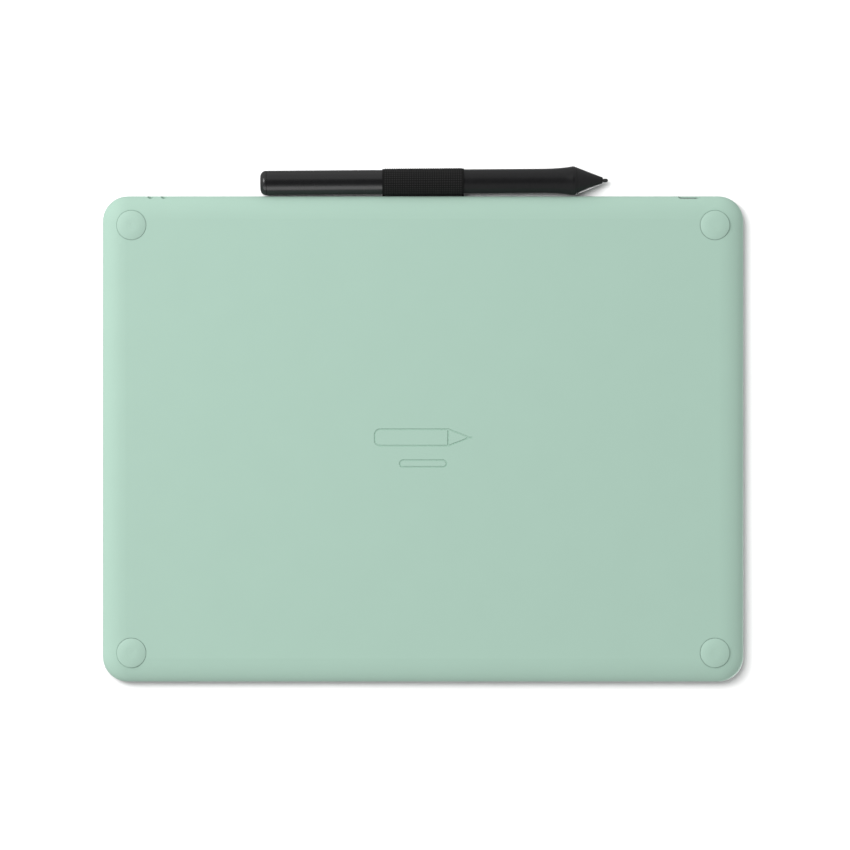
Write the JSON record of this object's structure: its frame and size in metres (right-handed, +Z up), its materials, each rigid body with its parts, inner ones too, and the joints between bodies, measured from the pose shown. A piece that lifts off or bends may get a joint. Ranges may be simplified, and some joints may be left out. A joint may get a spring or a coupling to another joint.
{
  "type": "pen drawing tablet",
  "caption": "Flat pen drawing tablet with rounded underside, keys in a shallow pen tray, and a battery-free pen stowed in a woven loop on its far edge.",
  "frame": {"origin": "middle of the footprint of the tablet with its stowed pen, on the desk under the feet", "axes": "+X to the user's right along the wide side, +Y away from the user towards the pen, +Z up out of the drawing surface"},
  "size_m": [0.264, 0.2124, 0.0123],
  "materials": {
    "back_shell": "fine satin texture, pale green",
    "front_shell": "fine matte texture, black",
    "drawing_film": "paper-like grain, black",
    "foot_rubber": "soft satin, pale green",
    "key_plastic": "satin black",
    "ribbon": "woven ribbed ribbon, black",
    "pen_grip": "soft-touch black",
    "pen_barrel": "satin black",
    "pen_switch": "smooth black",
    "nib_plastic": "smooth dark grey",
    "steel": "plated steel",
    "circuit_board": "green solder mask",
    "chip_plastic": "moulded epoxy, black",
    "natural_plastic": "unpainted moulding, off white",
    "light_guide": "milky clear",
    "cell_wrap": "laminated pouch",
    "foam": "double-sided foam",
    "lead_wire": "smooth sleeve",
    "copper": "enamelled copper winding",
    "ferrite": "sintered, dark grey"
  },
  "bodies": {
    "tablet": {"back_cover": "back_shell", "battery_lead": "lead_wire", "battery_pack": "cell_wrap", "battery_pad": "foam", "battery_plug": "natural_plastic", "board_chips": "chip_plastic", "board_screws": "steel", "clamp_screws": "steel", "data_socket_shell": "steel", "data_socket_tongue": "chip_plastic", "drawing_sheet": "drawing_film", "flex_connectors": "natural_plastic", "front_cover": "front_shell", "housing_screws": "steel", "key_switches": "chip_plastic", "loop_clamp": "natural_plastic", "main_board": "circuit_board", "pen_loop": "ribbon", "radio_module": "steel", "rubber_foot_far_left": "foot_rubber", "rubber_foot_far_right": "foot_rubber", "rubber_foot_near_left": "foot_rubber", "rubber_foot_near_right": "foot_rubber", "sensor_board": "circuit_board", "sensor_flex": "lead_wire", "shield_plate": "steel", "status_lamp": "light_guide", "status_light_pipe": "light_guide"},
    "key_1": {"shortcut_key_1": "key_plastic", "key_1_switch_plunger": "natural_plastic"},
    "key_2": {"shortcut_key_2": "key_plastic", "key_2_switch_plunger": "natural_plastic"},
    "key_3": {"shortcut_key_3": "key_plastic", "key_3_switch_plunger": "natural_plastic"},
    "key_4": {"shortcut_key_4": "key_plastic", "key_4_switch_plunger": "natural_plastic"},
    "power_key": {"power_button": "key_plastic", "power_switch_plunger": "natural_plastic"},
    "pen": {"pen_front_barrel": "pen_grip", "pen_nose_cone": "pen_grip", "pen_chassis": "natural_plastic", "pen_board": "circuit_board", "pen_switches": "chip_plastic", "pressure_sensor": "steel", "ferrite_core": "ferrite", "pen_coil": "copper", "rocker_pin": "steel", "nib_magazine": "natural_plastic", "spare_nibs": "nib_plastic", "barrel_ring": "foam"},
    "pen_rear": {"pen_rear_barrel": "pen_barrel", "pen_end_cap": "pen_barrel"},
    "pen_nib": {"nib": "nib_plastic", "nib_holder": "natural_plastic"},
    "pen_rocker": {"side_switch": "pen_switch"}
  },
  "joints": [
    {"name": "pen_draw", "type": "slide", "parent": "tablet", "child": "pen", "axis": [-1, 0.0072, 0], "range_m": [-0.007, 0.088]},
    {"name": "rear_barrel_pull", "type": "slide", "parent": "pen", "child": "pen_rear", "axis": [1, -0.0072, 0], "range_m": [0, 0.046]},
    {"name": "nib_press", "type": "slide", "parent": "pen", "child": "pen_nib", "axis": [1, -0.0072, 0], "range_m": [0, 0.0003], "stiffness_N_per_m": 1500, "springref_m": -0.0003},
    {"name": "side_switch_rock", "type": "hinge", "parent": "pen", "child": "pen_rocker", "pos_m": [-0.037, 0.10007, 0.0082], "axis": [0.0072, 1, 0], "range_deg": [-2.5, 2.5], "stiffness_Nm_per_rad": 0.3},
    {"name": "key_1_press", "type": "slide", "parent": "tablet", "child": "key_1", "axis": [0, 0, -1], "range_m": [0, 0.0004], "stiffness_N_per_m": 1500, "springref_m": -0.0005},
    {"name": "key_2_press", "type": "slide", "parent": "tablet", "child": "key_2", "axis": [0, 0, -1], "range_m": [0, 0.0004], "stiffness_N_per_m": 1500, "springref_m": -0.0005},
    {"name": "key_3_press", "type": "slide", "parent": "tablet", "child": "key_3", "axis": [0, 0, -1], "range_m": [0, 0.0004], "stiffness_N_per_m": 1500, "springref_m": -0.0005},
    {"name": "key_4_press", "type": "slide", "parent": "tablet", "child": "key_4", "axis": [0, 0, -1], "range_m": [0, 0.0004], "stiffness_N_per_m": 1500, "springref_m": -0.0005},
    {"name": "power_press", "type": "slide", "parent": "tablet", "child": "power_key", "axis": [0, 0, -1], "range_m": [0, 0.0004], "stiffness_N_per_m": 1500, "springref_m": -0.0005}
  ]
}
